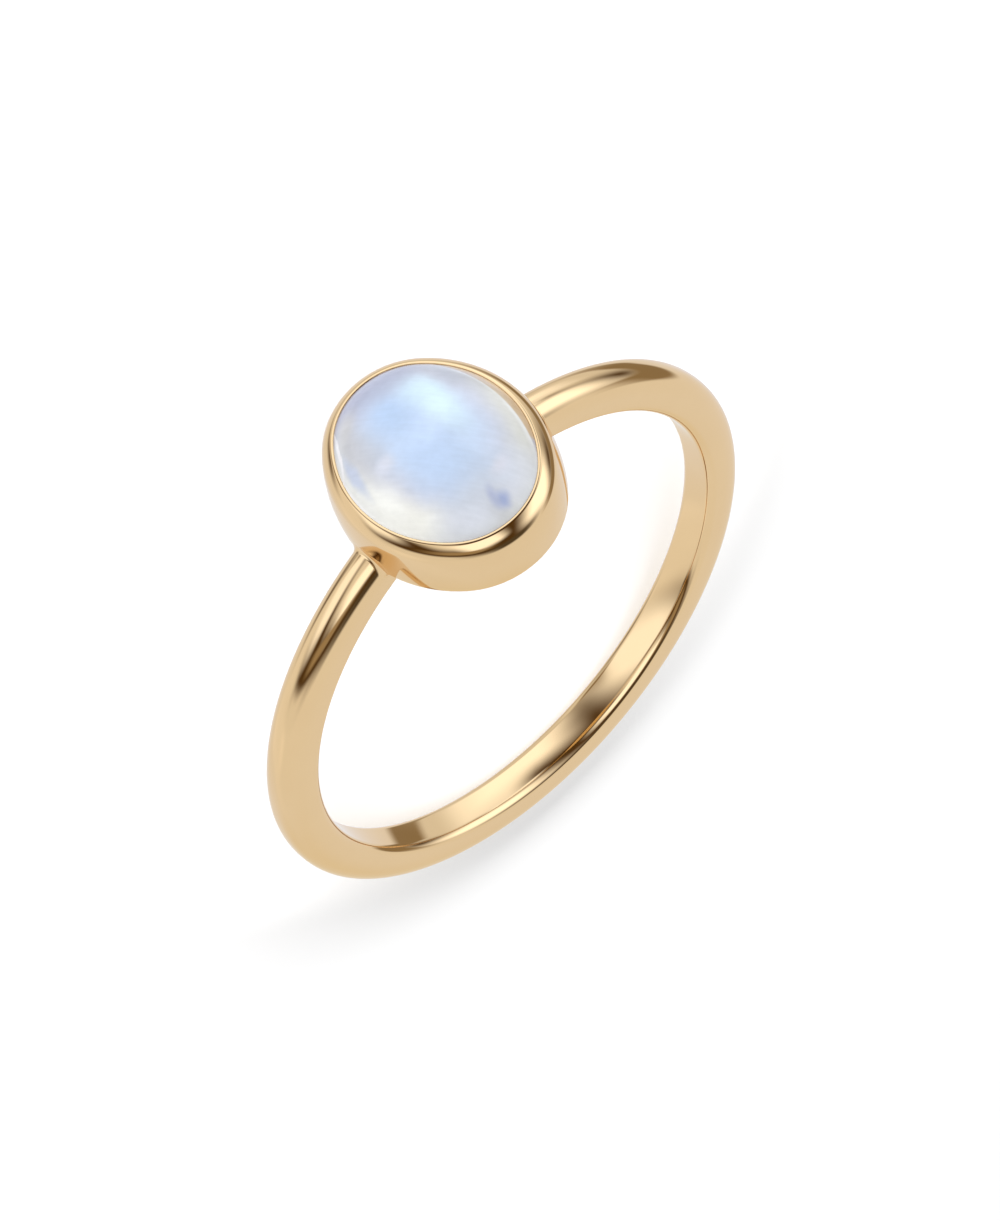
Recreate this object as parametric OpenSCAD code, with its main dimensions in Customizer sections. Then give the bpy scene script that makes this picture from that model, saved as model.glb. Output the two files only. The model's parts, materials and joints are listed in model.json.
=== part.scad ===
// Ring with an oval moonstone cabochon in a plain rubbed-over bezel on a slim domed shank.
// The ring lies on its side, as it would on a table: the finger axis stands near vertical (+Z),
// the stone points to the front (-Y), and the floor is z = 0.
// All sizes are in millimetres.

/* [Finger hole] */
// Inside diameter of the shank
hole_d = 17.3; // [16:0.1:20]

/* [Shank] */
// Thickness of the shank, from the finger hole outwards
shank_thick = 1.54; // [1.3:0.02:1.8]
// Width of the shank along the finger
shank_width = 1.45; // [1.3:0.05:2]
// Radius that softens the two edges of the finger hole
shank_edge_r = 0.3; // [0.1:0.05:0.4]
// Height of the straight sides of the shank, from the finger hole outwards
shank_side_h = 0.48; // [0.45:0.01:0.6]
// Fullness of the domed outside: 2 is a half ellipse and more is squarer
shank_fullness = 2.4; // [2:0.1:3]

/* [Bezel] */
// Length of the bezel along the finger
bezel_length = 8.55; // [8:0.05:9]
// Breadth of the bezel round the finger
bezel_breadth = 7.25; // [6.8:0.05:7.6]
// Radius of the bezel's outline at its two ends
bezel_end_r = 3.2; // [3.1:0.05:3.3]
// Height of the bezel from its flat underside to the rim
bezel_height = 2.22; // [2.16:0.01:2.26]
// How far the underside lies outside the finger hole
bezel_clearance = 0.34; // [0.2:0.02:0.5]
// Thickness of the wall beside the stone's girdle
bezel_wall = 0.37; // [0.32:0.01:0.4]
// Thickness of the closed back under the stone
bezel_back = 0.5; // [0.4:0.05:0.6]
// Radius of the slight barrel shape of the wall, seen from the side
barrel_r = 6; // [5:0.5:12]
// Height of the widest line of the wall above the underside
barrel_h = 0.56; // [0.3:0.02:0.9]
// Radius of the broad shoulder that leads from the wall to the rim
shoulder_r = 0.9; // [0.85:0.01:1]
// Height of the shoulder's centre above the underside
shoulder_h = 1.46; // [1.42:0.01:1.5]
// Radius of the edge between the shoulder and the flat rim
rim_edge_r = 0.12; // [0.05:0.01:0.14]

/* [Moonstone] */
// Gap between the stone and the metal
stone_gap = 0.03; // [0.02:0.01:0.05]
// Height of the girdle, the stone's widest line, above the bezel's underside
girdle_h = 1.46; // [1.4:0.02:1.54]
// Height of the dome above the girdle
dome_h = 2.05; // [1.8:0.05:2.4]
// Fullness of the dome across the finger: 2 is an ellipse
dome_fullness_short = 2; // [1.9:0.05:2.1]
// Fullness of the dome along the finger
dome_fullness_long = 2.1; // [2:0.05:2.2]
// Size of the stone's flat base as a share of its girdle
base_share = 0.95; // [0.9:0.01:0.98]

/* [Hidden] */

hole_r = hole_d / 2;
half_length = bezel_length / 2;
half_breadth = bezel_breadth / 2;

// The bezel's outline is an oval of four arcs, two ends and two longer sides.
end_centre = half_length - bezel_end_r;
side_gap = half_breadth - bezel_end_r;
side_centre = (end_centre ^ 2 - side_gap ^ 2) / (2 * side_gap);
side_r = half_breadth + side_centre;
side_angle = atan2(end_centre, side_centre);

// Heights along the stone's axis, measured from the middle of the finger hole.
under_z = hole_r + bezel_clearance;
back_z = under_z + bezel_back;
barrel_z = under_z + barrel_h;
girdle_z = under_z + girdle_h;
shoulder_z = under_z + shoulder_h;
rim_z = under_z + bezel_height;

// The shoulder's round lies inside the barrel shape and touches it, and the rim's edge is a
// smaller round that lies inside the shoulder and touches it.
shoulder_from = asin((shoulder_z - barrel_z) / (barrel_r - shoulder_r));
shoulder_inset = barrel_r - (barrel_r - shoulder_r) * cos(shoulder_from);
rim_edge_z = rim_z - rim_edge_r;
shoulder_to = asin((rim_edge_z - shoulder_z) / (shoulder_r - rim_edge_r));
rim_edge_inset = shoulder_inset - (shoulder_r - rim_edge_r) * cos(shoulder_to);

// Where the stone's girdle lies in from the bezel's outside, and the flat base under it.
stone_inset = bezel_wall + stone_gap;
stone_base_z = back_z + stone_gap;

// Numbers of straight steps along the curves, and of corners round the oval.
barrel_steps = 4;
shoulder_steps = 8;
rim_edge_steps = 3;
cover_steps = 5;
shank_steps = 24;
edge_steps = 4;
oval_sides = 72;
dome_rings = 14;

function arc(centre, r, from, to, steps) =
    [for (i = [0:steps]) let (a = from + (to - from) * i / steps) centre + r * [cos(a), sin(a)]];

function signed_power(value, power) = sign(value) * abs(value) ^ power;

// Section of the shank as [distance from the finger's axis, height along the finger].
shank_section = let (r = hole_r + shank_side_h, domed = shank_thick - shank_side_h, half = shank_width / 2,
                     inner = hole_r + shank_edge_r, flat = half - shank_edge_r)
    concat(
        [for (i = [0:shank_steps]) let (a = -90 + 180 * i / shank_steps, power = 2 / shank_fullness)
            [r + domed * signed_power(cos(a), power), half * signed_power(sin(a), power)]],
        arc([inner, flat], shank_edge_r, 90, 180, edge_steps),
        arc([inner, -flat], shank_edge_r, 180, 270, edge_steps));

// Share of the girdle's size that the dome still has at a height above the girdle.
function dome_share(height, fullness) = (1 - (height / dome_h) ^ fullness) ^ (1 / fullness);

// Distance in from the bezel's outside to the metal that covers the stone's edge.
function cover_inset(z) =
    bezel_wall + (half_breadth - bezel_wall) * (1 - dome_share(z - girdle_z, dome_fullness_short));

// Section of the bezel from its underside over the rim to its floor, as
// [distance in from the outside, height].
shoulder_turn = (shoulder_to - shoulder_from) / shoulder_steps;
rim_edge_turn = (90 - shoulder_to) / rim_edge_steps;
outside = concat(
    [for (p = arc([0, 0], barrel_r, -asin(barrel_h / barrel_r), shoulder_from, barrel_steps))
        [barrel_r - p.x, barrel_z + p.y]],
    [for (p = arc([0, 0], shoulder_r, shoulder_from + shoulder_turn, shoulder_to, shoulder_steps - 1))
        [shoulder_inset - p.x, shoulder_z + p.y]],
    [for (p = arc([0, 0], rim_edge_r, shoulder_to + rim_edge_turn, 90, rim_edge_steps - 1))
        [rim_edge_inset - p.x, rim_edge_z + p.y]]);
inside = [for (i = [cover_steps:-1:0]) let (z = girdle_z + (rim_z - girdle_z) * i / cover_steps)
    [cover_inset(z), z]];
wall_section = concat(outside, inside, [[bezel_wall, back_z]]);

// Point of the oval, at an inset from the bezel's outside, where the outline faces an angle.
function oval(angle, inset) = abs(sin(angle)) > sin(side_angle)
    ? [0, sign(sin(angle)) * end_centre] + (bezel_end_r - inset) * [cos(angle), sin(angle)]
    : [-sign(cos(angle)) * side_centre, 0] + (side_r - inset) * [cos(angle), sin(angle)];

// Level outline at an inset and a height, which may shrink by a share across and along the finger.
function level_oval(inset, z, across = 1, along = 1) =
    [for (i = [0:oval_sides - 1]) let (p = oval(360 * i / oval_sides, inset)) [p.x * across, p.y * along, z]];

dome_heights = [for (i = [0:dome_rings - 1]) dome_h * sin(90 * i / dome_rings)];

// At rest the ring leans on the far side of its shank and on the lower end of its bezel.
// Points here are [distance from the stone's side to the far side, height along the finger].
function reach(points, direction) = max([for (p = points) p * direction]);
function furthest(points, direction) = [for (p = points) if (p * direction == reach(points, direction)) p][0];
function down(tilt) = [sin(tilt), -cos(tilt)];
bezel_end = [for (p = outside) [-p.y, p.x - half_length]];
function rest_tilt(tilt, left) = left == 0 ? tilt
    : let (span = furthest(shank_section, down(tilt)) - furthest(bezel_end, down(tilt)))
        rest_tilt(atan2(span.y, span.x), left - 1);
first_guess = 10;
guesses = 6;
tilt = rest_tilt(first_guess, guesses);
lift = reach(shank_section, down(tilt));
forward = [-cos(tilt), -sin(tilt)];
dome_end = [for (h = dome_heights)
    [-girdle_z - h, -(half_length - stone_inset) * dome_share(h, dome_fullness_long)]];
centre_y = (reach(dome_end, forward) - reach(shank_section, -forward)) / 2;

// Puts a piece that is modelled round the finger's axis where it rests on the floor.
module at_rest() {
    translate([0, centre_y, lift]) rotate([-tilt, 0, 0]) children();
}

// Puts a piece that is modelled round the stone's axis on the front of the ring.
module on_front() {
    rotate([90, 0, 0]) children();
}

// Closed solid whose skin runs through a list of level outlines, with a point at each end.
module skin(outlines, first_point, last_point) {
    n = len(outlines[0]);
    last = (len(outlines) - 1) * n;
    points = concat([for (outline = outlines) each outline], [first_point, last_point]);
    sides = [for (k = [0:len(outlines) - 2], i = [0:n - 1]) let (a = k * n, j = (i + 1) % n)
        [a + i, a + n + i, a + n + j, a + j]];
    ends = [for (i = [0:n - 1]) let (j = (i + 1) % n)
        each [[i, j, last + n], [last + i, last + n + 1, last + j]]];
    polyhedron(points, concat(sides, ends));
}

// Domed band round the finger, open where the bezel holds the stone.
module shank() {
    difference() {
        rotate_extrude($fn = 240) polygon(shank_section);
        on_front() translate([-half_breadth + bezel_wall / 2, -shank_width, back_z - bezel_back / 2])
            cube([bezel_breadth - bezel_wall, 2 * shank_width, bezel_height]);
    }
}

// Oval cup with a closed back and a rim that is pressed over the stone's edge.
module bezel() {
    skin([for (p = wall_section) level_oval(p.x, p.y)], [0, 0, under_z], [0, 0, back_z]);
}

// Shank and bezel, soldered into one piece of gold.
module gold_mount() {
    color("#e3bd86") at_rest() {
        shank();
        on_front() bezel();
    }
}

// Oval cabochon with a flat base, a girdle and a dome.
module moonstone() {
    dome = [for (h = dome_heights) level_oval(stone_inset, girdle_z + h,
        dome_share(h, dome_fullness_short), dome_share(h, dome_fullness_long))];
    base = level_oval(stone_inset, stone_base_z, base_share, base_share);
    color("#dfe4f2") at_rest() on_front()
        skin(concat([base], dome), [0, 0, stone_base_z], [0, 0, girdle_z + dome_h]);
}

gold_mount();
moonstone();
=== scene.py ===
"""Looks of a gold ring with an oval moonstone in a plain rubbed-over bezel.

Each piece is modelled on a bench, in millimetres, round the middle of the finger hole. There the
finger's axis is +Z and the stone faces -Y. A finished piece is then laid where the ring rests.
"""

import json
import logging
import math
from collections.abc import Callable
from dataclasses import dataclass
from enum import Enum

import bmesh
import bpy
from mathutils import Matrix, Vector
from mathutils.bvhtree import BVHTree


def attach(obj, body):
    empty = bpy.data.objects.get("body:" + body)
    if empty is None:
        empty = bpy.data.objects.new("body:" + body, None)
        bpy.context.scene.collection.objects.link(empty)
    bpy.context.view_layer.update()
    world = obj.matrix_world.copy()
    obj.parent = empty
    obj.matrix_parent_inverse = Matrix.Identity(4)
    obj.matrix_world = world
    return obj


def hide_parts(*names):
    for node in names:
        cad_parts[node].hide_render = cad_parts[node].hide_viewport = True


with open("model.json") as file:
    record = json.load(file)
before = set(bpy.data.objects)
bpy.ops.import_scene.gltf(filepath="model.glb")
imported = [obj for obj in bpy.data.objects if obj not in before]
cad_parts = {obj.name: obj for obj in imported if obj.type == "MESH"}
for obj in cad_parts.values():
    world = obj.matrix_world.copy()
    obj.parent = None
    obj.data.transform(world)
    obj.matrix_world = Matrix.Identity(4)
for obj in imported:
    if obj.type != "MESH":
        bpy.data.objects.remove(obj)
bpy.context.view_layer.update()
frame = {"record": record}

log = logging.getLogger("ring")

MM = 0.001
PHOTO_HEIGHT = 1221
BODY = "root"

# Points nearer to each other than this become one.
MERGE_MM = 0.0005

# A point that is this near to a height lies at it.
LEVEL_MM = 0.001

# Numbers of a Mix node's sockets for colours and for plain values
MIX_A = 6
MIX_B = 7
MIX_OUT = 2
VALUE_A = 2
VALUE_B = 3

# Most of a noise pattern's values lie between these two.
NOISE_LOW = 0.3
NOISE_HIGH = 0.7


class Slot(Enum):
    """Material slots of the record."""

    GOLD = "polished_gold"
    MOONSTONE = "moonstone"


# Bench tools


def deselect_all() -> None:
    """Leaves no object selected, also none of the frame's own nodes."""
    if bpy.context.object and bpy.context.object.mode == "EDIT":
        bpy.ops.object.mode_set(mode="OBJECT")
    bpy.ops.object.select_all(action="DESELECT")


def pick(piece: bpy.types.Object) -> None:
    """Makes one object the only selected one, and the active one.

    Args:
        piece: The object.
    """
    deselect_all()
    piece.select_set(True)
    bpy.context.view_layer.objects.active = piece


def select_points(keep: Callable[[Vector], bool]) -> None:
    """Selects the active mesh's points by their place, in edit mode.

    Args:
        keep: Says for a point's place whether the point is selected.
    """
    bpy.ops.mesh.select_mode(type="VERT")
    mesh = bmesh.from_edit_mesh(bpy.context.object.data)
    for vertex in mesh.verts:
        vertex.select_set(keep(vertex.co))
    mesh.select_flush_mode()
    bmesh.update_edit_mesh(bpy.context.object.data)


def select_level(height: float) -> None:
    """Selects the active mesh's points that lie at a height, in edit mode."""
    select_points(lambda co: abs(co.z - height) < LEVEL_MM)


def apply_modifier(piece: bpy.types.Object, kind: str, **settings: object) -> None:
    """Adds a modifier to a piece and applies it.

    Args:
        piece: The piece that is changed.
        kind: The modifier's type.
        **settings: The modifier's own settings.
    """
    pick(piece)
    modifier = piece.modifiers.new(kind.lower(), kind)
    for name, value in settings.items():
        setattr(modifier, name, value)
    bpy.ops.object.modifier_apply(modifier=modifier.name)


def close_up() -> None:
    """Merges doubled points, turns the faces outwards and leaves edit mode."""
    bpy.ops.mesh.select_all(action="SELECT")
    bpy.ops.mesh.remove_doubles(threshold=MERGE_MM)
    bpy.ops.mesh.normals_make_consistent(inside=False)
    bpy.ops.object.mode_set(mode="OBJECT")


def join(name: str, pieces: list[bpy.types.Object]) -> bpy.types.Object:
    """Joins pieces into the first one.

    Args:
        name: The joined piece's name.
        pieces: The pieces, the first of which is kept.

    Returns:
        The joined piece.
    """
    pick(pieces[0])
    for piece in pieces[1:]:
        piece.select_set(True)
    bpy.ops.object.join()
    joined = bpy.context.object
    joined.name = name
    return joined


def move_to(piece: bpy.types.Object, place: Matrix) -> None:
    """Moves a piece, and keeps its new place in its mesh.

    Args:
        piece: The piece, which stands at the origin.
        place: The matrix that takes it to where it belongs.
    """
    pick(piece)
    piece.matrix_world = place
    bpy.ops.object.transform_apply(location=True, rotation=True, scale=True)


def lay_down(piece: bpy.types.Object, place: Matrix, sharp_deg: float) -> None:
    """Moves a piece from the bench to where it belongs, and shades it smooth.

    Args:
        piece: The piece, still at the bench.
        place: The matrix that takes the bench to the place.
        sharp_deg: Edges that turn by more than this stay sharp.
    """
    move_to(piece, place)
    bpy.ops.object.shade_smooth_by_angle(angle=math.radians(sharp_deg))


def turn(centre: Vector, axis: Vector, angle: float, steps: int) -> None:
    """Spins what is selected about an axis, and leaves the end selected.

    The operator itself counts angles the other way round.

    Args:
        centre: A point on the axis.
        axis: The axis's direction.
        angle: The angle in radians, by the right-hand rule.
        steps: The number of steps.
    """
    bpy.ops.mesh.spin(steps=steps, dupli=False, angle=-angle, center=centre, axis=axis)


class Pen:
    """Draws an outline point by point in edit mode, with lines and arcs.

    The outline's end stays selected, so that each stroke goes on from it.
    """

    def __init__(self, name: str, start: Vector) -> None:
        """Begins an outline as a single point.

        Args:
            name: The name of the new object.
            start: The place of the first point.
        """
        deselect_all()
        bpy.ops.mesh.primitive_plane_add(size=1, location=(0, 0, 0))
        self.piece: bpy.types.Object = bpy.context.object
        self.piece.name = name
        bpy.ops.object.mode_set(mode="EDIT")
        bpy.ops.mesh.select_mode(type="VERT")
        bpy.ops.mesh.merge(type="CENTER")
        bpy.ops.transform.translate(value=start)
        self.end = start.copy()

    def line_to(self, point: Vector) -> None:
        """Draws a straight stroke to a point."""
        bpy.ops.mesh.extrude_region_move(TRANSFORM_OT_translate={"value": point - self.end})
        self.end = point.copy()

    def arc(self, centre: Vector, axis: Vector, angle: float, steps: int) -> None:
        """Draws an arc from the end of the outline.

        Args:
            centre: The arc's centre.
            axis: The axis that the arc turns about.
            angle: The angle that it turns by, in radians.
            steps: The number of straight steps along it.
        """
        turn(centre, axis, angle, steps)
        self.end = centre + Matrix.Rotation(angle, 3, axis) @ (self.end - centre)


def surface_tree(piece: bpy.types.Object) -> BVHTree:
    """Makes a search tree of a piece's surface, at its place.

    Args:
        piece: The piece.

    Returns:
        The tree.
    """
    mesh = bmesh.new()
    mesh.from_mesh(piece.data)
    mesh.transform(piece.matrix_world)
    tree = BVHTree.FromBMesh(mesh)
    mesh.free()
    return tree


def away_from(tree: BVHTree, place: Vector) -> tuple[Vector, float]:
    """Direction from the nearest point of a surface to a place outside it, and the distance."""
    nearest, _, _, distance = tree.find_nearest(place)
    return (place - nearest).normalized(), distance


def skin_sections(name: str, sections: list[list[Vector]]) -> bpy.types.Object:
    """Skins a row of closed sections with quads.

    Args:
        name: The new object's name.
        sections: The sections, each with as many points.

    Returns:
        The skin.
    """
    count = len(sections[0])
    points = [point for section in sections for point in section]
    faces = [
        (k * count + i, k * count + (i + 1) % count, (k + 1) * count + (i + 1) % count, (k + 1) * count + i)
        for k in range(len(sections) - 1)
        for i in range(count)
    ]
    mesh = bpy.data.meshes.new(name)
    mesh.from_pydata(points, [], faces)
    piece = bpy.data.objects.new(name, mesh)
    bpy.context.collection.objects.link(piece)
    pick(piece)
    bpy.ops.object.mode_set(mode="EDIT")
    close_up()
    return piece


# Finishes


def linear(code: str) -> tuple[float, float, float, float]:
    """Turns an sRGB colour code into linear light, by the sRGB curve.

    Args:
        code: Six hex digits after a hash.

    Returns:
        Red, green, blue and a full alpha.
    """
    parts = [int(code[i : i + 2], 16) / 255 for i in (1, 3, 5)]
    light = [p / 12.92 if p <= 0.04045 else ((p + 0.055) / 1.055) ** 2.4 for p in parts]
    return (*light, 1.0)


def add_node(tree: bpy.types.NodeTree, kind: str, links: dict | None = None,
             **settings: object) -> bpy.types.Node:
    """Adds a node, sets its sockets and properties, and links its inputs.

    Args:
        tree: The node tree that gets the node.
        kind: The node's type, without the ShaderNode in front of it.
        links: Output sockets by the name or number of the input that they feed.
        **settings: Properties of the node, or under "inputs" the values of its inputs.

    Returns:
        The new node.
    """
    node = tree.nodes.new(f"ShaderNode{kind}")
    values = settings.pop("inputs", {})
    for name, value in settings.items():
        setattr(node, name, value)
    for name, value in values.items():
        node.inputs[name].default_value = value
    for name, source in (links or {}).items():
        tree.links.new(source, node.inputs[name])
    return node


def start_material(name: str) -> tuple[bpy.types.Material, bpy.types.Node]:
    """Starts a finish as a plain Principled shader.

    Args:
        name: The finish's name.

    Returns:
        The material and its shader.
    """
    material = bpy.data.materials.new(name)
    material.use_nodes = True
    return material, material.node_tree.nodes["Principled BSDF"]


@dataclass(frozen=True)
class PolishedGold:
    """14 carat yellow gold, cast and then buffed to a mirror."""

    colour: str = "#eccb97"
    worn_colour: str = "#e9c793"
    metallic: float = 1.0
    smooth_roughness: float = 0.03
    hazy_roughness: float = 0.08
    haze_mm: float = 1.6
    haze_detail: float = 4.0
    mark_mm: float = 0.09
    mark_detail: float = 3.0
    mark_height_mm: float = 0.00006
    wave_mm: float = 2.2
    wave_detail: float = 1.0
    wave_height_mm: float = 0.0012

    def make(self) -> bpy.types.Material:
        """Makes the material.

        Returns:
            The finish of the shank, the bezel and the solder.
        """
        # Buffing gives warm, crisp reflections. It leaves fine marks that blur the mirror a little
        # here and there, and a very slight waviness that lets long reflections waver. The real
        # marks are about 0.01 mm wide, too fine to show, so they are drawn several times as coarse.
        material, shader = start_material("gold_14_carat_mirror_polished")
        tree = material.node_tree
        place = add_node(tree, "TexCoord").outputs["Object"]
        sizes = ((self.haze_mm, self.haze_detail), (self.mark_mm, self.mark_detail),
                 (self.wave_mm, self.wave_detail))
        haze, marks, waves = (
            add_node(tree, "TexNoise", {"Vector": place},
                     inputs={"Scale": 1 / (size_mm * MM), "Detail": detail}).outputs[0]
            for size_mm, detail in sizes
        )
        mixed = add_node(tree, "Mix", {0: haze, VALUE_A: haze, VALUE_B: marks})
        blur = add_node(tree, "MapRange", {"Value": mixed.outputs[0]},
                        inputs={"From Min": NOISE_LOW, "From Max": NOISE_HIGH,
                                "To Min": self.smooth_roughness, "To Max": self.hazy_roughness})
        tone = add_node(tree, "Mix", {0: haze}, data_type="RGBA",
                        inputs={MIX_A: linear(self.colour), MIX_B: linear(self.worn_colour)})
        wavy = add_node(tree, "Bump", {"Height": waves},
                        inputs={"Distance": self.wave_height_mm * MM})
        marked = add_node(tree, "Bump", {"Height": marks, "Normal": wavy.outputs[0]},
                          inputs={"Distance": self.mark_height_mm * MM})
        shader.inputs["Metallic"].default_value = self.metallic
        tree.links.new(tone.outputs[MIX_OUT], shader.inputs["Base Color"])
        tree.links.new(blur.outputs[0], shader.inputs["Roughness"])
        tree.links.new(marked.outputs[0], shader.inputs["Normal"])
        return material


@dataclass(frozen=True)
class Patch:
    """A patch of colour in the stone, seen face up, in millimetres from its middle.

    It fades over a share of its size, its softness, and hides a share of what is under it, its
    strength.
    """

    x: float
    y: float
    half_x: float
    half_y: float
    turn_deg: float
    softness: float
    colour: str
    strength: float = 1.0


class Glow(Enum):
    """What shows in the milky stone, from the bottom layer to the top one.

    The first ones lie along the edge, where the stone is thin and the gold shines through it.
    Besides the stone's own milk and blue sheen, some patches are painted light: painted shade
    towards the foot and on the lower left, a painted shadow at the seat, and painted highlights
    and reflections of the lamps on the dome and along the girdle.
    """

    GOLD_SHINES_THROUGH = Patch(-3.4, 0, 1.6, 2.7, 0, 0.05, "#ccb291")
    # Painted reflection: a thin white line round the edge, where the girdle reflects and bends the light.
    EDGE_LINE_PAINTED_REFLECTION = Patch(0.15, 0.1, 2.88, 4.0, 0, 0.01, "#ecedee")
    EDGE_MILK = Patch(0.16, 0.05, 2.8, 3.85, 0, 0.02, "#d6d7d4")
    # Painted shade: a grey-lavender patch that darkens the stone towards its foot.
    FOOT_PAINTED_SHADE = Patch(-0.3, -3.4, 2.6, 1.2, 0, 0.5, "#9b98a8")
    # Painted reflection: a cream patch where a lamp is mirrored on the right of the dome.
    CREAM_RIM_PAINTED_REFLECTION = Patch(2.2, 1.4, 0.75, 1.6, 14, 0.5, "#ecece6")
    GREEN_RIM = Patch(-2.05, 1.3, 0.45, 1.7, -14, 0.6, "#d8d9d3")
    LAVENDER_RING = Patch(-0.1, -0.15, 2.2, 3.1, 0, 0.2, "#c5c6d3", 0.85)
    TOP_MILK = Patch(0.2, 2.7, 1.9, 0.8, 0, 0.6, "#d0d4dd")
    PALE_SIDE = Patch(1.7, -1.5, 0.7, 1.3, 0, 0.6, "#b9bbc2", 0.9)
    BLUE_BODY = Patch(-0.15, 0.0, 1.7, 2.35, 0, 0.45, "#c1d2ea")
    BLUE_HEART = Patch(0.45, 0.5, 0.8, 1.3, -20, 0.8, "#bfd3f0")
    BLUE_FOOT = Patch(0.25, -1.6, 0.75, 0.9, 10, 0.9, "#b0c6e4")
    # Painted highlight: an icy-white lamp highlight on the dome, and its fainter tail below it.
    ICE_PAINTED_HIGHLIGHT_TAIL = Patch(-0.9, -1.6, 0.5, 0.8, 0, 0.9, "#c2d8ea", 0.9)
    ICE_WHITE_PAINTED_HIGHLIGHT = Patch(-1.1, -0.75, 0.45, 1.05, -6, 0.95, "#d1e8f1")
    # Painted shade: a lavender patch that darkens the foot further.
    LAVENDER_FOOT_PAINTED_SHADE = Patch(-0.3, -3.0, 1.7, 0.7, -6, 0.8, "#a2a9c0", 0.8)
    LEFT_SHADE = Patch(-2.15, -1.8, 0.45, 1.2, 14, 0.9, "#a8afc1", 0.75)
    PALE_FOOT = Patch(1.45, -2.6, 0.6, 0.25, 30, 0.9, "#c3c4c6", 0.8)
    BLUE_SLIVER = Patch(2.42, -1.1, 0.15, 0.8, -14, 0.7, "#b4bed5", 0.8)
    # Painted reflection: a thin white crescent along the girdle at the lower right.
    WHITE_SLIVER_PAINTED_REFLECTION = Patch(2.18, -2.2, 0.05, 0.9, -32, 0.6, "#dedde0", 0.9)
    VIOLET_SPOT = Patch(-0.12, 3.25, 0.22, 0.18, 30, 0.8, "#9caad2", 0.85)
    VIOLET_TAIL = Patch(0.03, 3.02, 0.14, 0.3, -22, 0.9, "#b0b9d6", 0.8)
    WHITE_SPECK = Patch(-0.85, 2.4, 0.34, 0.2, 20, 0.9, "#d8d9e4", 0.7)
    SECOND_SPECK = Patch(1.6, -0.35, 0.3, 0.22, 0, 0.9, "#d6d9e5", 0.7)
    SEAT_SHADOW = Patch(-2.36, -2.3, 0.12, 0.22, 25, 0.5, "#84776c", 0.8)


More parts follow.
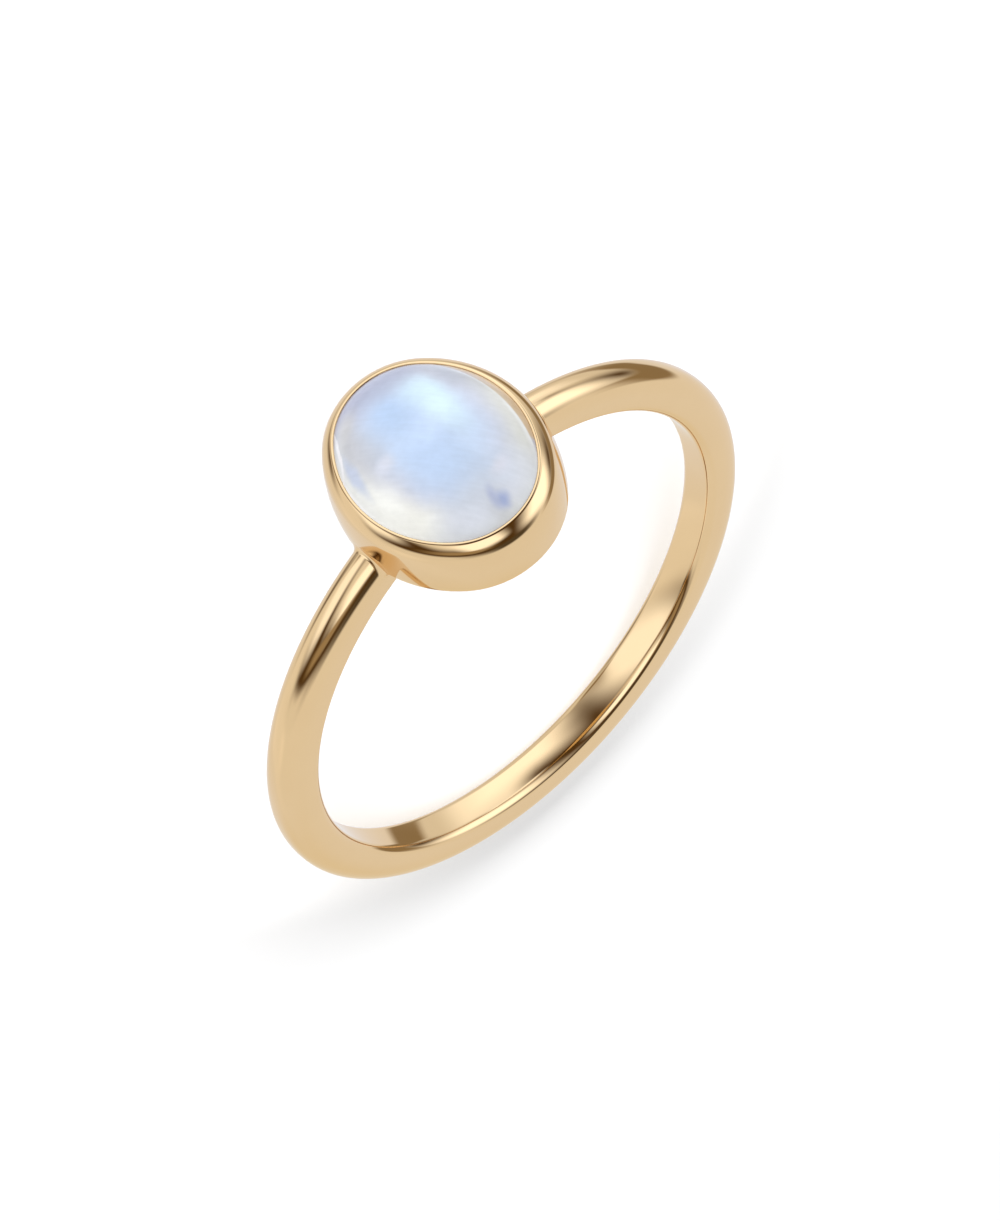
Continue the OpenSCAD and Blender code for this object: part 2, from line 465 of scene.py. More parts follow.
@dataclass(frozen=True)
class MilkyMoonstone:
    """Blue-sheen feldspar, cut as a cabochon and polished."""

    base: str = "#bab8c2"
    roughness: float = 0.04
    ior: float = 1.52
    wander_mm: float = 0.35
    wander_size_mm: float = 1.1
    wander_detail: float = 3.0
    grain_mm: float = 0.3
    grain_detail: float = 5.0
    cleavage_mm: float = 0.12
    cleavage_length_mm: float = 0.9
    cleavage_deg: float = 35.0
    cleavage_detail: float = 3.0
    mottling: float = 0.05
    crisp: tuple[Glow, ...] = (Glow.GOLD_SHINES_THROUGH, Glow.EDGE_LINE_PAINTED_REFLECTION, Glow.EDGE_MILK)

    def make(self, place: Matrix) -> bpy.types.Material:
        """Makes the material.

        Args:
            place: The matrix that takes the stone's own millimetres to where it lies.

        Returns:
            The stone's finish.
        """
        # The body is milky under a wet gloss. The sheen floats in it as soft blue and white patches
        # that waver a little, with fine straight cleavage lines between them. Painted shade darkens the
        # foot and the lower left, and painted highlights and reflections of the lamps lie on the dome and
        # along the girdle.
        material, shader = start_material("moonstone_blue_sheen_cabochon")
        tree = material.node_tree
        world = add_node(tree, "TexCoord").outputs["Object"]
        own = add_node(tree, "Mapping", {"Vector": world}, vector_type="TEXTURE",
                       inputs={"Location": place.translation, "Rotation": place.to_euler(),
                               "Scale": place.to_scale()}).outputs[0]
        flat, wavering = (
            add_node(tree, "VectorMath", {0: source}, operation="MULTIPLY",
                     inputs={1: (1, 1, 0)}).outputs[0]
            for source in (own, self.wander(tree, own))
        )
        colour = None
        for glow in Glow:
            colour = self.paint(tree, flat if glow in self.crisp else wavering, glow.value, colour)
        mottled = add_node(tree, "HueSaturation",
                           {"Value": self.mottle(tree, own), "Color": colour})
        tree.links.new(mottled.outputs[0], shader.inputs["Base Color"])
        shader.inputs["Roughness"].default_value = self.roughness
        shader.inputs["IOR"].default_value = self.ior
        return material

    def wander(self, tree: bpy.types.NodeTree, place: bpy.types.NodeSocket) -> bpy.types.NodeSocket:
        """Lets the coordinates waver, and what is painted by them too.

        Args:
            tree: The stone's node tree.
            place: The stone's own coordinates, in millimetres.

        Returns:
            The wavering coordinates.
        """
        drift = add_node(tree, "TexNoise", {"Vector": place},
                         inputs={"Scale": 1 / self.wander_size_mm, "Detail": self.wander_detail})
        centred = add_node(tree, "VectorMath", {0: drift.outputs["Color"]}, operation="SUBTRACT",
                           inputs={1: ((NOISE_LOW + NOISE_HIGH) / 2,) * 3})
        moved = add_node(tree, "VectorMath", {0: centred.outputs[0], 2: place},
                         operation="MULTIPLY_ADD", inputs={1: (self.wander_mm,) * 3})
        return moved.outputs[0]

    def mottle(self, tree: bpy.types.NodeTree, place: bpy.types.NodeSocket) -> bpy.types.NodeSocket:
        """Makes the fine unevenness of the milk: soft grains and straight cleavage lines.

        Args:
            tree: The stone's node tree.
            place: The stone's own coordinates, in millimetres.

        Returns:
            The share of its brightness that the stone has.
        """
        grains = add_node(tree, "TexNoise", {"Vector": place},
                          inputs={"Scale": 1 / self.grain_mm, "Detail": self.grain_detail})
        along = add_node(tree, "Mapping", {"Vector": place}, vector_type="TEXTURE",
                         inputs={"Rotation": (0, 0, math.radians(self.cleavage_deg)),
                                 "Scale": (self.cleavage_mm, self.cleavage_length_mm, 1)})
        lines = add_node(tree, "TexNoise", {"Vector": along.outputs[0]},
                         inputs={"Scale": 1.0, "Detail": self.cleavage_detail})
        both = add_node(tree, "Math", {0: grains.outputs[0], 1: lines.outputs[0]}, operation="ADD")
        share = add_node(tree, "MapRange", {"Value": both.outputs[0]},
                         inputs={"From Min": 2 * NOISE_LOW, "From Max": 2 * NOISE_HIGH,
                                 "To Min": 1 - self.mottling, "To Max": 1 + self.mottling})
        return share.outputs[0]

    def paint(self, tree: bpy.types.NodeTree, place: bpy.types.NodeSocket, patch: Patch,
              below: bpy.types.NodeSocket | None) -> bpy.types.NodeSocket:
        """Paints a patch over what is there already.

        Args:
            tree: The stone's node tree.
            place: The stone's own coordinates, in millimetres.
            patch: The patch.
            below: The colour under it, or none under the first patch, which lies on the base.

        Returns:
            The colour with the patch on top.
        """
        own = add_node(tree, "Mapping", {"Vector": place}, vector_type="TEXTURE",
                       inputs={"Location": (patch.x, patch.y, 0),
                               "Rotation": (0, 0, math.radians(patch.turn_deg)),
                               "Scale": (patch.half_x, patch.half_y, 1)})
        out = add_node(tree, "VectorMath", {0: own.outputs[0]}, operation="LENGTH")
        share = add_node(tree, "MapRange", {"Value": out.outputs["Value"]},
                         interpolation_type="SMOOTHSTEP",
                         inputs={"From Min": 1 + patch.softness, "From Max": 1 - patch.softness,
                                 "To Max": patch.strength})
        mixed = add_node(tree, "Mix", {0: share.outputs[0]}, data_type="RGBA",
                         inputs={MIX_A: linear(self.base), MIX_B: linear(patch.colour)})
        if below:
            tree.links.new(below, mixed.inputs[MIX_A])
        return mixed.outputs[MIX_OUT]


@dataclass(frozen=True)
class MattPaper:
    """Uncoated white paper, smoothly rolled."""

    colour: str = "#e5e5e5"
    roughness: float = 0.9

    def make(self) -> bpy.types.Material:
        """Makes the material.

        Returns:
            The floor's finish.
        """
        # It scatters the light evenly, so it shows soft shadows and no reflections.
        material, shader = start_material("paper_matt_white")
        shader.inputs["Base Color"].default_value = linear(self.colour)
        shader.inputs["Roughness"].default_value = self.roughness
        return material


# Pieces


@dataclass(frozen=True)
class RestingPlace:
    """Where the ring lies, and the size of its finger hole, in millimetres."""

    middle: Vector
    axis: Vector
    hole_radius: float

    @classmethod
    def from_record(cls, record: dict) -> "RestingPlace":
        """Reads the finger hole's mount.

        Args:
            record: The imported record.

        Returns:
            The resting place.
        """
        mount = record["mounts"][0]
        return cls(Vector(mount["pos_m"]) / MM, Vector(mount["axis"]), mount["dims"]["r_mm"])

    def matrix(self) -> Matrix:
        """Takes the bench, in millimetres, to the ring's resting place, in metres."""
        tilt = math.atan2(self.axis.y, self.axis.z)
        return Matrix.Scale(MM, 4) @ Matrix.Translation(self.middle) @ Matrix.Rotation(-tilt, 4, "X")

    def stone_matrix(self) -> Matrix:
        """The same for a piece that is modelled round the stone's axis, face up."""
        return self.matrix() @ Matrix.Rotation(math.radians(90), 4, "X")


def hand_over(piece: bpy.types.Object, material: bpy.types.Material, node: str) -> None:
    """Dresses a finished piece and lets it stand for a node of the frame.

    Args:
        piece: The finished piece.
        material: Its finish.
        node: The node that it stands for.
    """
    piece.data.materials.clear()
    piece.data.materials.append(material)
    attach(piece, BODY)
    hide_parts(node)
    log.info("%s: %d faces", piece.name, len(piece.data.polygons))


@dataclass(frozen=True)
class Oval:
    """The bezel's outline: an oval of four arcs, two ends and two longer sides."""

    length: float = 8.55
    breadth: float = 7.25
    end_radius: float = 3.2
    side_steps: int = 36
    end_steps: int = 72

    @property
    def end_centre(self) -> float:
        """Distance from the middle to the centre of an end's arc."""
        return self.length / 2 - self.end_radius

    @property
    def side_centre(self) -> float:
        """Distance from the middle to the centre of a side's arc."""
        gap = self.breadth / 2 - self.end_radius
        return (self.end_centre**2 - gap**2) / (2 * gap)

    @property
    def side_angle(self) -> float:
        """Half the angle of a side's arc, in radians."""
        return math.atan2(self.end_centre, self.side_centre)

    def sweep(self) -> None:
        """Spins what is selected once round the oval, from the middle of its +X side."""
        side = self.side_angle
        end = math.pi - 2 * side
        up = Vector((0, 0, 1))
        turn(Vector((-self.side_centre, 0, 0)), up, side, self.side_steps)
        turn(Vector((0, self.end_centre, 0)), up, end, self.end_steps)
        turn(Vector((self.side_centre, 0, 0)), up, 2 * side, 2 * self.side_steps)
        turn(Vector((0, -self.end_centre, 0)), up, end, self.end_steps)
        turn(Vector((-self.side_centre, 0, 0)), up, side, self.side_steps)


@dataclass(frozen=True)
class Shank:
    """The slim band round the finger, domed outside and flat inside."""

    hole_radius: float
    thickness: float = 1.54
    width: float = 1.45
    side_height: float = 0.48
    fullness: float = 2.4
    edge_radius: float = 0.3
    edge_fullness: float = 2.0
    dome_steps: int = 24
    edge_steps: int = 8
    round_steps: int = 360

    def build(self) -> bpy.types.Object:
        """Models the band from its section.

        Returns:
            The band, at the bench.
        """
        half = self.width / 2
        side_top = self.hole_radius + self.side_height
        side_middle = self.hole_radius + self.side_height / 2
        deselect_all()
        bpy.ops.mesh.primitive_plane_add(size=1, rotation=(math.radians(90), 0, 0))
        piece = bpy.context.object
        piece.name = "shank"
        bpy.ops.object.transform_apply(location=False, rotation=True, scale=False)
        bpy.ops.object.mode_set(mode="EDIT")
        bpy.ops.transform.resize(value=(self.side_height + half, 1, self.width))
        bpy.ops.transform.translate(value=(self.hole_radius + (self.side_height + half) / 2, 0, 0))
        # The operator's rounds are as deep as they are wide, so the dome starts half the shank's
        # width deep, and is then stretched to its own depth.
        self.round_corners(lambda co: co.x > side_top, half, self.dome_steps, self.fullness)
        self.round_corners(lambda co: co.x < side_middle, self.edge_radius, self.edge_steps,
                           self.edge_fullness)
        select_points(lambda co: co.x > side_top)
        bpy.ops.transform.resize(value=((self.thickness - self.side_height) / half, 1, 1),
                                 center_override=(side_top, 0, 0))
        bpy.ops.mesh.select_all(action="SELECT")
        bpy.ops.mesh.remove_doubles(threshold=MERGE_MM)
        bpy.ops.mesh.delete(type="ONLY_FACE")
        bpy.ops.mesh.select_all(action="SELECT")
        turn(Vector((0, 0, 0)), Vector((0, 0, 1)), math.tau, self.round_steps)
        close_up()
        return piece

    @staticmethod
    def round_corners(keep: Callable[[Vector], bool], radius: float, steps: int, fullness: float) -> None:
        """Rounds the section's corners.

        Args:
            keep: Says which corners.
            radius: How far from the corner the round starts.
            steps: Steps of a corner's round.
            fullness: 2 is a circle's arc, and more is squarer.
        """
        select_points(keep)
        # The operator's profile is the square of how far out the round crosses its diagonal.
        bpy.ops.mesh.bevel(offset=radius, offset_type="OFFSET", segments=steps, affect="VERTICES",
                           profile=0.5 ** (2 / fullness), clamp_overlap=False)


@dataclass(frozen=True)
class Bezel:
    """The oval cup that holds the stone, its rim pressed over the stone's edge.

    Insets are measured in from the widest line of the wall, and heights up from the underside.
    """

    hole_radius: float
    oval: Oval = Oval()
    height: float = 2.22
    clearance: float = 0.34
    wall: float = 0.37
    back: float = 0.5
    barrel_radius: float = 6.0
    barrel_height: float = 0.56
    barrel_steps: int = 20
    shoulder_radius: float = 0.9
    shoulder_rise: float = 1.46
    shoulder_steps: int = 24
    rim_edge_radius: float = 0.12
    rim_edge_steps: int = 10
    lip_radius: float = 0.03
    lip_inset: float = 0.604
    lip_turn_deg: float = 50.0
    lip_steps: int = 6
    girdle_height: float = 1.46
    foot_radius: float = 0.06
    foot_steps: int = 6

    @property
    def under(self) -> float:
        """Height of the underside above the middle of the finger hole."""
        return self.hole_radius + self.clearance

    def at(self, inset: float, height: float) -> Vector:
        """A point of the section, in the plane where it starts."""
        return Vector((self.oval.breadth / 2 - inset, 0, self.under + height))

    def build(self) -> bpy.types.Object:
        """Sweeps the wall's section round the oval and closes the back.

        Returns:
            The cup, round the stone's axis and face up.
        """
        piece = self.draw_section()
        bpy.ops.mesh.select_all(action="SELECT")
        self.oval.sweep()
        close_up()
        for height in (self.under, self.under + self.back):
            pick(piece)
            bpy.ops.object.mode_set(mode="EDIT")
            select_level(height)
            bpy.ops.mesh.edge_face_add()
            close_up()
        return piece

    def draw_section(self) -> bpy.types.Object:
        """Draws the wall's section, from the underside over the rim to the floor of the cup.

        Returns:
            The open outline, in edit mode.
        """
        across = Vector((0, -1, 0))
        level = math.radians(90)
        # Each smaller round lies inside a larger one and touches it, so the wall has no corner
        # between them.
        foot_reach = self.barrel_radius - self.foot_radius
        barrel_reach = self.barrel_radius - self.shoulder_radius
        rim_reach = self.shoulder_radius - self.rim_edge_radius
        foot_from = -math.asin((self.barrel_height - self.foot_radius) / foot_reach)
        foot_inset = self.barrel_radius - foot_reach * math.cos(foot_from)
        shoulder_from = math.asin((self.shoulder_rise - self.barrel_height) / barrel_reach)
        shoulder_inset = self.barrel_radius - barrel_reach * math.cos(shoulder_from)
        shoulder_to = math.asin((self.height - self.rim_edge_radius - self.shoulder_rise) / rim_reach)
        rim_edge_inset = shoulder_inset - rim_reach * math.cos(shoulder_to)
        lip_turn = math.radians(self.lip_turn_deg)
        lip_from = self.lip_inset - self.lip_radius * math.sin(lip_turn)
        pen = Pen("bezel", self.at(foot_inset, 0))
        pen.arc(self.at(foot_inset, self.foot_radius), across, level + foot_from, self.foot_steps)
        pen.arc(self.at(self.barrel_radius, self.barrel_height), across, shoulder_from - foot_from,
                self.barrel_steps)
        pen.arc(self.at(shoulder_inset, self.shoulder_rise), across, shoulder_to - shoulder_from,
                self.shoulder_steps)
        pen.arc(self.at(rim_edge_inset, self.height - self.rim_edge_radius), across, level - shoulder_to,
                self.rim_edge_steps)
        pen.line_to(self.at(lip_from, self.height))
        pen.arc(self.at(lip_from, self.height - self.lip_radius), across, lip_turn, self.lip_steps)
        pen.line_to(self.at(self.wall, self.girdle_height))
        pen.line_to(self.at(self.wall, self.back))
        return pen.piece


@dataclass(frozen=True)
class SolderSeam:
    """The fillet of solder all along the seam between the shank and the bezel.

    A ball that rolls along the seam and touches both leaves the fillet's hollow under it. The root
    is an edge of the fillet that lies inside the metal, at a depth given in radii of the ball. No
    operator rolls a ball, so the fillet's sections are worked out and skinned.
    """

    crest_radius: float = 0.18
    side_radius: float = 0.3
    root_depth: float = 1.7
    step: float = 0.03
    arc_steps: int = 12
    settle_tries: int = 20
    most_sections: int = 400
    mirror_merge: float = 0.002

    def radius_at(self, place: Vector, half_width: float) -> float:
        """Radius of the rolling ball, smaller on top of the shank than at its sides."""
        share = min(abs(place.z) / half_width, 1)
        return self.crest_radius + (self.side_radius - self.crest_radius) * share**2 * (3 - 2 * share)

    def build(self, shank: bpy.types.Object, bezel: bpy.types.Object, start: Vector,
              half_width: float) -> bpy.types.Object:
        """Rolls the ball along a quarter of the seam and mirrors what it leaves.

        Args:
            shank: The whole band.
            bezel: The cup, at its place on the band.
            start: A point just outside the seam, over the middle of the shank's width.
            half_width: Half the shank's width.

        Returns:
            The fillet, at the bench.
        """
        trees = [surface_tree(shank), surface_tree(bezel)]
        sections = []
        centre = start
        heading = Vector((0, 0, 1))
        while len(sections) < self.most_sections:
            centre = self.settle(trees, centre, half_width)
            if not sections:
                # The first section lies on the mirror's plane, in the middle of the shank's width.
                centre.z = 0
            aways = [away_from(tree, centre)[0] for tree in trees]
            sections.append(self.section(centre, self.radius_at(centre, half_width), aways))
            if centre.x < 0:
                # The ball is past the stone's axis, where the mirror cuts the seam.
                break
            along = aways[0].cross(aways[1]).normalized()
            heading = along if along.dot(heading) > 0 else -along
            centre = centre + heading * self.step
        piece = skin_sections("solder_seam", sections)
        apply_modifier(piece, "MIRROR", use_axis=(True, False, True), use_bisect_axis=(True, False, False),
                       use_clip=True, merge_threshold=self.mirror_merge)
        return piece

    def settle(self, trees: list[BVHTree], centre: Vector, half_width: float) -> Vector:
        """Moves the ball until it touches both surfaces.

        Args:
            trees: Search trees of the two surfaces.
            centre: The ball's centre, near the seam.
            half_width: Half the shank's width.

        Returns:
            The ball's settled centre.
        """
        for _ in range(self.settle_tries):
            radius = self.radius_at(centre, half_width)
            for tree in trees:
                away, distance = away_from(tree, centre)
                centre = centre + away * (radius - distance)
        return centre

    def section(self, centre: Vector, radius: float, aways: list[Vector]) -> list[Vector]:
        """Works out the fillet's section under the ball, finer where it runs out on the metal.

        Args:
            centre: The ball's centre.
            radius: The ball's radius.
            aways: The directions from the two surfaces to the centre.

        Returns:
            The points of the hollow, and the root.
        """
        shares = [(1 - math.cos(math.pi * i / self.arc_steps)) / 2 for i in range(self.arc_steps + 1)]
        hollow = [centre - radius * aways[0].slerp(aways[1], share) for share in shares]
        root = centre - radius * self.root_depth * (aways[0] + aways[1]).normalized()
        return [*hollow, root]


@dataclass(frozen=True)
class GoldMount:
    """Shank, bezel and the solder between them: one piece of gold."""

    shank: Shank
    bezel: Bezel
    seam: SolderSeam = SolderSeam()
    finish: PolishedGold = PolishedGold()
    sharp_deg: float = 35.0

    def build(self, place: RestingPlace) -> bpy.types.Object:
        """Models the mount and lays it down.

        Args:
            place: Where the ring rests.

        Returns:
            The finished piece.
        """
        shank = self.shank.build()
        bezel = self.bezel.build()
        move_to(bezel, Matrix.Rotation(math.radians(90), 4, "X"))
        beside = self.bezel.oval.breadth / 2 + self.seam.crest_radius
        reach = self.shank.hole_radius + self.shank.thickness + self.seam.crest_radius
        start = Vector((beside, -math.sqrt(reach**2 - beside**2), 0))
        seam = self.seam.build(shank, bezel, start, self.shank.width / 2)
        self.open_for_stone(shank)
        mount = join("gold_ring", [shank, bezel, seam])
        lay_down(mount, place.matrix(), self.sharp_deg)
        apply_modifier(mount, "WEIGHTED_NORMAL", keep_sharp=True)
        return mount

    def open_for_stone(self, shank: bpy.types.Object) -> None:
        """Cuts the shank away where the bezel holds the stone.

        Args:
            shank: The whole band.
        """
        inside = self.bezel.oval.breadth - self.bezel.wall
        floor = self.bezel.under + self.bezel.back / 2
        deselect_all()
        bpy.ops.mesh.primitive_cube_add(size=1, location=(0, -floor - self.bezel.height / 2, 0))
        cutter = bpy.context.object
        cutter.scale = (inside, self.bezel.height, 2 * self.shank.width)
        bpy.ops.object.transform_apply(location=False, rotation=False, scale=True)
        apply_modifier(shank, "BOOLEAN", operation="DIFFERENCE", object=cutter, solver="EXACT")
        bpy.data.objects.remove(cutter)

    def dress(self, piece: bpy.types.Object) -> None:
        """Gives the finished mount its polish and its place in the frame."""
        hand_over(piece, self.finish.make(), "gold_mount")


@dataclass(frozen=True)
class Moonstone:
    """The oval cabochon, from its flat base over the girdle to the dome.

    Its girdle is a little nearer to the metal than the solid's, so that no gap shows.
    """

    bezel: Bezel
    finish: MilkyMoonstone = MilkyMoonstone()
    gap: float = 0.01
    dome_height: float = 2.05
    fullness_across: float = 2.0
    fullness_along: float = 2.1
    base_share: float = 0.95
    base_gap: float = 0.03
    rings: int = 48
    sharp_deg: float = 60.0

    def share(self, height: float, fullness: float) -> float:
        """Share of the girdle's size that the dome still has at a height above the girdle."""
        return (1 - (height / self.dome_height) ** fullness) ** (1 / fullness)

    def build(self, place: RestingPlace) -> bpy.types.Object:
        """Models the stone ring by ring and lays it down.

        Args:
            place: Where the ring rests.

        Returns:
            The finished piece.
        """
        start = self.bezel.at(self.bezel.wall + self.gap, self.bezel.girdle_height)
        pen = Pen("moonstone_cabochon", start)
        self.bezel.oval.sweep()
        bpy.ops.mesh.select_all(action="SELECT")
        bpy.ops.mesh.remove_doubles(threshold=MERGE_MM)
        base_height = self.bezel.back + self.base_gap
        self.ring_to(base_height - self.bezel.girdle_height, self.base_share, self.base_share)
        bpy.ops.mesh.edge_face_add()
        select_level(start.z)
        last_height, last_across, last_along = 0.0, 1.0, 1.0
        for i in range(1, self.rings):
            height = self.dome_height * math.sin(math.radians(90) * i / self.rings)
            across = self.share(height, self.fullness_across)
            along = self.share(height, self.fullness_along)
            self.ring_to(height - last_height, across / last_across, along / last_along)
            last_height, last_across, last_along = height, across, along
        self.ring_to(self.dome_height - last_height, 1, 1)
        bpy.ops.mesh.merge(type="CENTER")
        close_up()
        lay_down(pen.piece, place.stone_matrix(), self.sharp_deg)
        return pen.piece

    @staticmethod
    def ring_to(rise: float, across: float, along: float) -> None:
        """Extrudes the selected ring straight up and draws it in.

        Args:
            rise: How far it goes up.
            across: Share of its breadth that it keeps.
            along: Share of its length that it keeps.
        """
        bpy.ops.mesh.extrude_region_move(TRANSFORM_OT_translate={"value": (0, 0, rise)})
        bpy.ops.transform.resize(value=(across, along, 1), center_override=(0, 0, 0))

    def dress(self, piece: bpy.types.Object, place: RestingPlace) -> None:
        """Gives the finished stone its milky body and its place in the frame."""
        hand_over(piece, self.finish.make(place.stone_matrix()), "moonstone")


# Studio


@dataclass(frozen=True)
class PhotoCamera:
    """The photograph's camera, placed by its angles round the ring.

    It stands at a distance in millimetres from the middle of the finger hole, and is shifted a
    little to the right, or left where that is negative, and up. Its focal length is in pixels of
    the photograph, and its sensor in millimetres.
    """

    azimuth_deg: float = 14.157
    elevation_deg: float = 28.181
    roll_deg: float = 129.84
    distance: float = 381.674
    aim_right: float = -0.11434
    aim_up: float = 0.34405
    focal_pixels: float = 11629.33
    sensor: float = 36.0

    def build(self, place: RestingPlace) -> bpy.types.Object:
        """Adds the camera and makes it the scene's.

        Args:
            place: Where the ring rests.

        Returns:
            The camera.
        """
        azimuth = math.radians(self.azimuth_deg)
        elevation = math.radians(self.elevation_deg)
        back = Vector((math.sin(azimuth) * math.cos(elevation),
                       -math.cos(azimuth) * math.cos(elevation), math.sin(elevation)))
        level = Vector((0, 0, 1)).cross(back).normalized()
        roll = Matrix.Rotation(math.radians(self.roll_deg), 3, back)
        right = roll @ level
        up = back.cross(right)
        spot = back * self.distance + right * self.aim_right + up * self.aim_up
        bpy.ops.object.camera_add()
        camera = bpy.context.object
        camera.name = "photo_camera"
        turned = place.matrix().to_quaternion().to_matrix() @ Matrix((right, up, back)).transposed()
        camera.matrix_world = Matrix.Translation(place.matrix() @ spot) @ turned.to_4x4()
        camera.data.sensor_width = self.sensor
        camera.data.lens = self.focal_pixels * self.sensor / PHOTO_HEIGHT
        bpy.context.scene.camera = camera
        return camera


class Bulb(Enum):
    """Colour of a panel's light, as red, green and blue."""

    PAPER = (0.93, 0.96, 1.06)
    FLASH = (0.87, 0.94, 1.12)
    WALL = (1.0, 0.8, 0.55)
    CREAM = (1.0, 0.97, 0.88)


@dataclass(frozen=True)
class Softbox:
    """A soft panel of the studio, as the ring sees it.

    Its place is given by its direction round the studio's zenith and its distance from it, and its
    size by half its angle across and half its angle towards the zenith. It fades over a share of
    its size, its softness.
    """

    azimuth_deg: float
    zenith_deg: float
    half_across_deg: float
    half_along_deg: float
    roll_deg: float
    softness: float
    brightness: float
    bulb: Bulb

    def axes(self) -> tuple[Vector, Vector, Vector]:
        """Works out where the panel is and how it is turned.

        Returns:
            The direction to its middle, its direction across and its direction along, by the
            studio's own axes.
        """
        azimuth = math.radians(self.azimuth_deg)
        zenith = math.radians(self.zenith_deg)
        roll = math.radians(self.roll_deg)
        flat = Vector((math.cos(azimuth), math.sin(azimuth), 0))
        middle = math.sin(zenith) * flat + Vector((0, 0, math.cos(zenith)))
        away = math.cos(zenith) * flat - Vector((0, 0, math.sin(zenith)))
        side = Vector((-math.sin(azimuth), math.cos(azimuth), 0))
        across = math.cos(roll) * side + math.sin(roll) * away
        along = math.cos(roll) * away - math.sin(roll) * side
        return middle, across, along


class Panel(Enum):
    """The panels round the ring, from the ones that others cover to the ones in front."""

    TABLE_GLOW = Softbox(-155, 112, 25, 12, 0, 0.5, 1.08, Bulb.PAPER)
    BACK_SHEET = Softbox(100, 70, 50, 27, -10, 0.35, 0.9, Bulb.PAPER)
    SIDE_SHEET = Softbox(185, 90, 15, 60, -35, 0.6, 1.0, Bulb.PAPER)
    LEFT_BOX = Softbox(-172, 58, 12, 24, -55, 0.6, 1.5, Bulb.FLASH)
    LOW_SHEET = Softbox(-130, 41, 24, 12, 38, 0.7, 1.0, Bulb.PAPER)
    LOW_BOX = Softbox(-83, 49, 20, 22, -30, 0.45, 1.7, Bulb.FLASH)
    LOW_EDGE = Softbox(-98, 75, 24, 6, 0, 0.6, 0.38, Bulb.WALL)
    RIGHT_BOX = Softbox(5, 61, 25, 32, 40, 0.6, 1.9, Bulb.FLASH)
    SMALL_BOX = Softbox(65, 38, 11, 15, 15, 0.4, 1.5, Bulb.FLASH)
    SOFT_CORNER = Softbox(80, 58, 14, 18, 15, 0.5, 1.3, Bulb.FLASH)
    STRIP_BOX = Softbox(100, 47, 25, 7, -42, 0.6, 1.7, Bulb.FLASH)
    GREY_CARD = Softbox(43, 104, 41, 10, -5, 0.35, 0.3, Bulb.WALL)
    BACK_GAP = Softbox(156, 53, 9, 9, 0, 0.5, 0.3, Bulb.WALL)
    TABLE_EDGE = Softbox(-124, 98, 32, 9, 0, 0.6, 0.93, Bulb.PAPER)
    DARK_EDGE = Softbox(-46, 94, 23, 9, 0, 0.6, 0.09, Bulb.WALL)
    UNDERSIDE = Softbox(0, 178, 26, 26, 0, 0.6, 0.85, Bulb.CREAM)


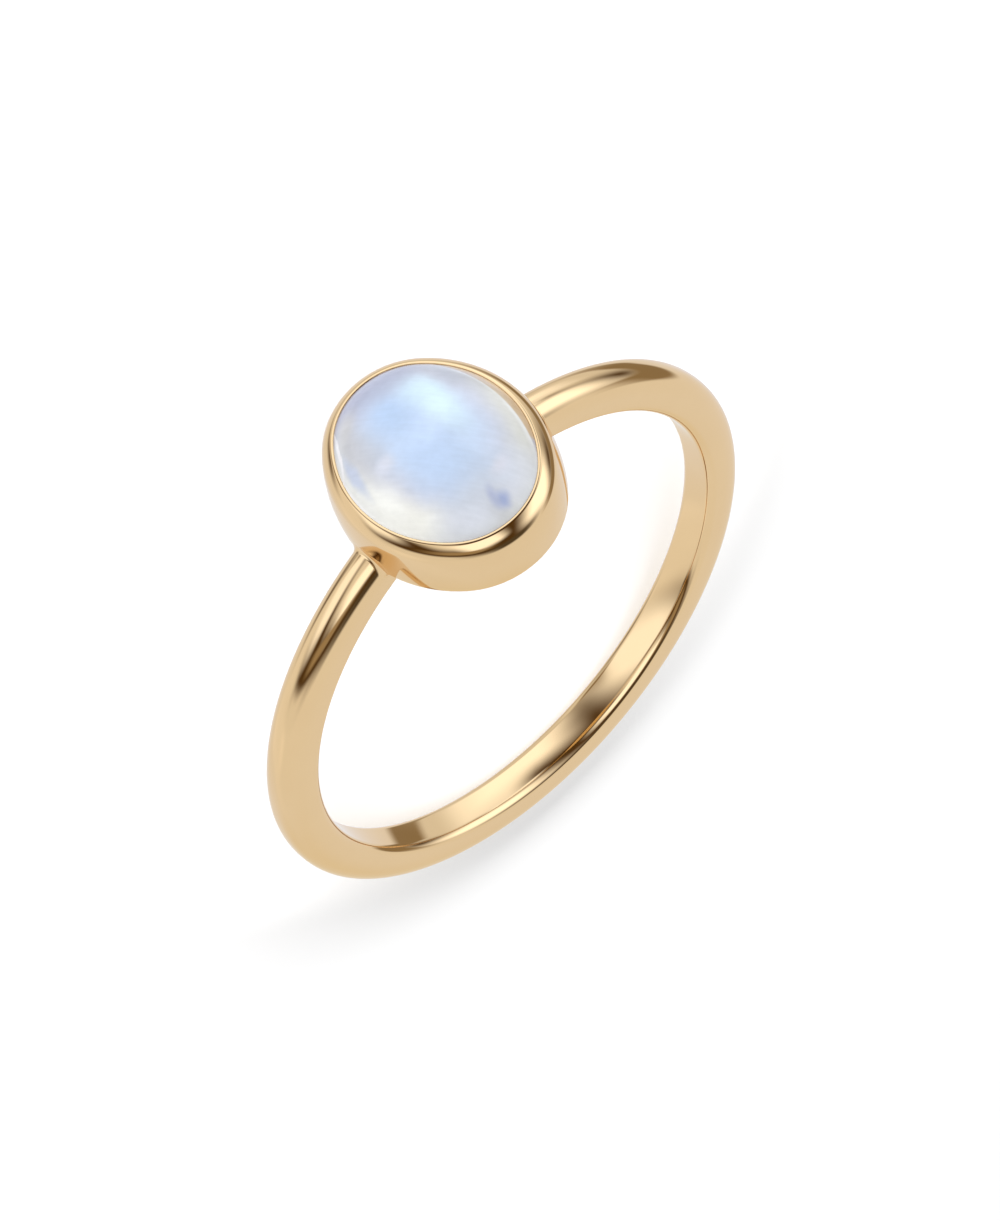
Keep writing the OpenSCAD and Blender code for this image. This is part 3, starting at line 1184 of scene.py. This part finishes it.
@dataclass(frozen=True)
class Studio:
    """Pale floor, two lamps, and panels all round for the polished gold to mirror.

    The floor and the lamps are measured in metres. The panels hang in a room whose zenith is tilted
    back from the camera's upright and leans aside. The room is dark above its horizon, with a bright
    table below it. What isn't a mirror sees an even surround in place of them.
    """

    paper: MattPaper = MattPaper()
    floor_size: float = 6.0
    surround: float = 0.95
    key_distance: float = 0.35
    key_rise_deg: float = 24.0
    key_width: float = 0.7
    key_height: float = 0.1
    key_watts: float = 2.3
    fill_watts: float = 4.2
    fill_left_deg: float = 1.72
    fill_up_deg: float = 1.53
    fill_cone_deg: float = 6.4
    fill_blend: float = 0.18
    tilt_deg: float = 60.0
    lean_deg: float = -8.0
    horizon_deg: float = -6.0
    horizon_soft_deg: float = 10.0
    table: float = 0.95
    dark: tuple[float, float, float] = (0.09, 0.05, 0.015)

    def axes(self, camera: bpy.types.Object) -> Matrix:
        """Works out how the room stands round the camera.

        Args:
            camera: The photograph's camera.

        Returns:
            A matrix that takes the studio's own axes to the world's.
        """
        tilt = math.radians(self.tilt_deg)
        lean = math.radians(self.lean_deg)
        zenith = Vector((math.sin(lean) * math.cos(tilt), math.cos(lean) * math.cos(tilt), math.sin(tilt)))
        right = (Vector((1, 0, 0)) - zenith * zenith.x).normalized()
        own = Matrix((right, zenith.cross(right), zenith)).transposed()
        return camera.matrix_world.to_3x3() @ own

    def build(self, camera: bpy.types.Object) -> None:
        """Adds the floor and the light.

        Args:
            camera: The photograph's camera.
        """
        floor = self.add_floor()
        # The lamps light the floor alone, because the panels light the ring.
        for lamp in (self.add_key(), self.add_fill(camera)):
            lamp.visible_glossy = False
            lit = bpy.data.collections.new(f"lit_by_{lamp.name}")
            lit.objects.link(floor)
            lamp.light_linking.receiver_collection = lit
        self.add_world(self.axes(camera))

    def add_key(self) -> bpy.types.Object:
        """Adds the low, wide lamp in front of the stone that lays the soft shadow behind the ring.

        Returns:
            The lamp.
        """
        rise = math.radians(self.key_rise_deg)
        spot = self.key_distance * Vector((0, -math.cos(rise), math.sin(rise)))
        deselect_all()
        bpy.ops.object.light_add(type="AREA", location=spot)
        lamp = bpy.context.object
        lamp.name = "key_lamp"
        lamp.rotation_euler = (-spot).to_track_quat("-Z", "Y").to_euler()
        lamp.data.shape = "RECTANGLE"
        lamp.data.size = self.key_width
        lamp.data.size_y = self.key_height
        lamp.data.energy = self.key_watts
        return lamp

    def add_fill(self, camera: bpy.types.Object) -> bpy.types.Object:
        """Adds the spot beside the camera that clears the paper in front of the shadow.

        Args:
            camera: The photograph's camera.

        Returns:
            The lamp, whose own shadows lie hidden behind the ring.
        """
        deselect_all()
        bpy.ops.object.light_add(type="SPOT")
        lamp = bpy.context.object
        lamp.name = "fill_lamp"
        aside = Matrix.Rotation(math.radians(self.fill_left_deg), 4, "Y")
        above = Matrix.Rotation(math.radians(self.fill_up_deg), 4, "X")
        lamp.matrix_world = camera.matrix_world @ aside @ above
        lamp.data.energy = self.fill_watts
        lamp.data.spot_size = math.radians(self.fill_cone_deg)
        lamp.data.spot_blend = self.fill_blend
        lamp.data.shadow_soft_size = 0
        return lamp

    def add_floor(self) -> bpy.types.Object:
        """Adds the floor, which the polished gold doesn't mirror.

        Returns:
            The floor.
        """
        deselect_all()
        bpy.ops.mesh.primitive_plane_add(size=self.floor_size)
        floor = bpy.context.object
        floor.name = "floor"
        floor.visible_glossy = False
        floor.data.materials.append(self.paper.make())
        return floor

    def add_world(self, axes: Matrix) -> None:
        """Lights the ring evenly and gives the gold its panels to mirror.

        Args:
            axes: The matrix from the studio's own axes to the world's.
        """
        world = bpy.data.worlds.new("studio_panels")
        world.use_nodes = True
        tree = world.node_tree
        look = add_node(tree, "TexCoord").outputs["Generated"]
        colour = self.room(tree, look, axes)
        for panel in Panel:
            colour = self.hang(tree, look, axes, panel.value, colour)
        mirrored = add_node(tree, "LightPath").outputs["Is Glossy Ray"]
        seen = add_node(tree, "Mix", {0: mirrored, MIX_B: colour}, data_type="RGBA",
                        inputs={MIX_A: (self.surround, self.surround, self.surround, 1)})
        background = tree.nodes["Background"]
        tree.links.new(seen.outputs[MIX_OUT], background.inputs["Color"])
        bpy.context.scene.world = world

    def room(self, tree: bpy.types.NodeTree, look: bpy.types.NodeSocket,
             axes: Matrix) -> bpy.types.NodeSocket:
        """Makes the dark room above the bright table, with a soft line between them.

        Args:
            tree: The world's node tree.
            look: The direction that is looked in.
            axes: The matrix from the studio's own axes to the world's.

        Returns:
            The colour of what is behind all panels.
        """
        height = add_node(tree, "VectorMath", {0: look}, operation="DOT_PRODUCT",
                          inputs={1: axes @ Vector((0, 0, 1))})
        rise = add_node(tree, "Math", {0: height.outputs["Value"]}, operation="ARCSINE")
        share = add_node(tree, "MapRange", {"Value": rise.outputs[0]},
                         interpolation_type="SMOOTHSTEP",
                         inputs={"From Min": math.radians(self.horizon_deg - self.horizon_soft_deg),
                                 "From Max": math.radians(self.horizon_deg + self.horizon_soft_deg)})
        table = (*[self.table * part for part in Bulb.PAPER.value], 1)
        mixed = add_node(tree, "Mix", {0: share.outputs[0]}, data_type="RGBA",
                         inputs={MIX_A: table, MIX_B: (*self.dark, 1)})
        return mixed.outputs[MIX_OUT]

    def hang(self, tree: bpy.types.NodeTree, look: bpy.types.NodeSocket, axes: Matrix, box: Softbox,
             behind: bpy.types.NodeSocket) -> bpy.types.NodeSocket:
        """Hangs a panel in front of what is there already.

        Args:
            tree: The world's node tree.
            look: The direction that is looked in.
            axes: The matrix from the studio's own axes to the world's.
            box: The panel.
            behind: The colour of what is behind it.

        Returns:
            The colour with the panel in front.
        """
        ahead, *sideways = (
            add_node(tree, "VectorMath", {0: look}, operation="DOT_PRODUCT",
                     inputs={1: axes @ axis}).outputs["Value"]
            for axis in box.axes()
        )
        shares = []
        for part, half_deg in zip(sideways, (box.half_across_deg, box.half_along_deg)):
            size = add_node(tree, "Math", {0: part}, operation="ABSOLUTE")
            angle = add_node(tree, "Math", {0: size.outputs[0], 1: ahead}, operation="ARCTAN2")
            half = math.radians(half_deg)
            share = add_node(tree, "MapRange", {"Value": angle.outputs[0]},
                             interpolation_type="SMOOTHSTEP",
                             inputs={"From Min": half * (1 + box.softness),
                                     "From Max": half * (1 - box.softness)})
            shares.append(share.outputs[0])
        cover = add_node(tree, "Math", {0: shares[0], 1: shares[1]}, operation="MULTIPLY")
        light = (*[box.brightness * part for part in box.bulb.value], 1)
        mixed = add_node(tree, "Mix", {0: cover.outputs[0], MIX_A: behind}, data_type="RGBA",
                         inputs={MIX_B: light})
        return mixed.outputs[MIX_OUT]


def main() -> None:
    """Builds the camera, the ring and the studio in order."""
    logging.basicConfig(level=logging.INFO, format="%(name)s: %(message)s")
    place = RestingPlace.from_record(frame["record"])
    camera = PhotoCamera().build(place)
    bezel = Bezel(place.hole_radius)
    mount = GoldMount(Shank(place.hole_radius), bezel)
    mount.dress(mount.build(place))
    stone = Moonstone(bezel)
    stone.dress(stone.build(place), place)
    Studio().build(camera)
    bpy.context.scene.view_settings.view_transform = "Standard"


if __name__ == "__main__":
    main()
